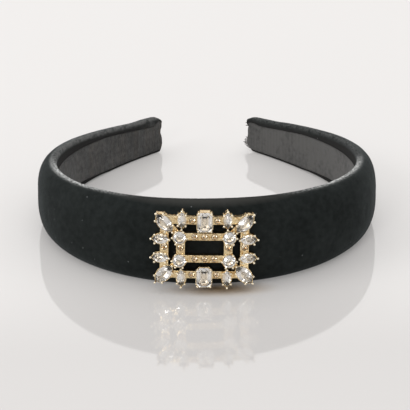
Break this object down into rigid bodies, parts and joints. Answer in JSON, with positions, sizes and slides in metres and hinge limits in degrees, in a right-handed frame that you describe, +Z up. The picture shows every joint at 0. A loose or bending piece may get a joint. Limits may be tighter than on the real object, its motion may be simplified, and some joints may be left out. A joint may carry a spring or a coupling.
{
  "type": "padded velvet headband with a stone-set buckle",
  "caption": "Wide padded velvet headband, tapering to open tips, lined with grosgrain ribbon, with a rectangular gold buckle of clear cut stones at the front.",
  "frame": {"origin": "centre of the part's box, on the surface that the band's lower edge lies on", "axes": "+X to the right as the buckle is seen from the front, +Y from the buckle back to the tips, +Z up"},
  "size_m": [0.1448, 0.1612, 0.0361],
  "materials": {
    "black_velvet": "short dense pile",
    "grey_grosgrain": "ribbed matt ribbon",
    "pale_gold": "bright pale gold plate",
    "clear_glass": "cut and foiled"
  },
  "bodies": {
    "root": {"velvet_band": "black_velvet", "ribbon_lining": "grey_grosgrain", "buckle_frame": "pale_gold", "pave_stones": "clear_glass", "emerald_upper": "clear_glass", "emerald_lower": "clear_glass", "marquise_upright_upper_left": "clear_glass", "marquise_upright_upper_right": "clear_glass", "marquise_upright_lower_left": "clear_glass", "marquise_upright_lower_right": "clear_glass", "marquise_side_upper_left": "clear_glass", "marquise_side_upper_right": "clear_glass", "marquise_side_lower_left": "clear_glass", "marquise_side_lower_right": "clear_glass", "marquise_corner_upper_left": "clear_glass", "marquise_corner_upper_right": "clear_glass", "marquise_corner_lower_left": "clear_glass", "marquise_corner_lower_right": "clear_glass", "round_upper_left": "clear_glass", "round_upper_right": "clear_glass", "round_lower_left": "clear_glass", "round_lower_right": "clear_glass"}
  },
  "joints": []
}
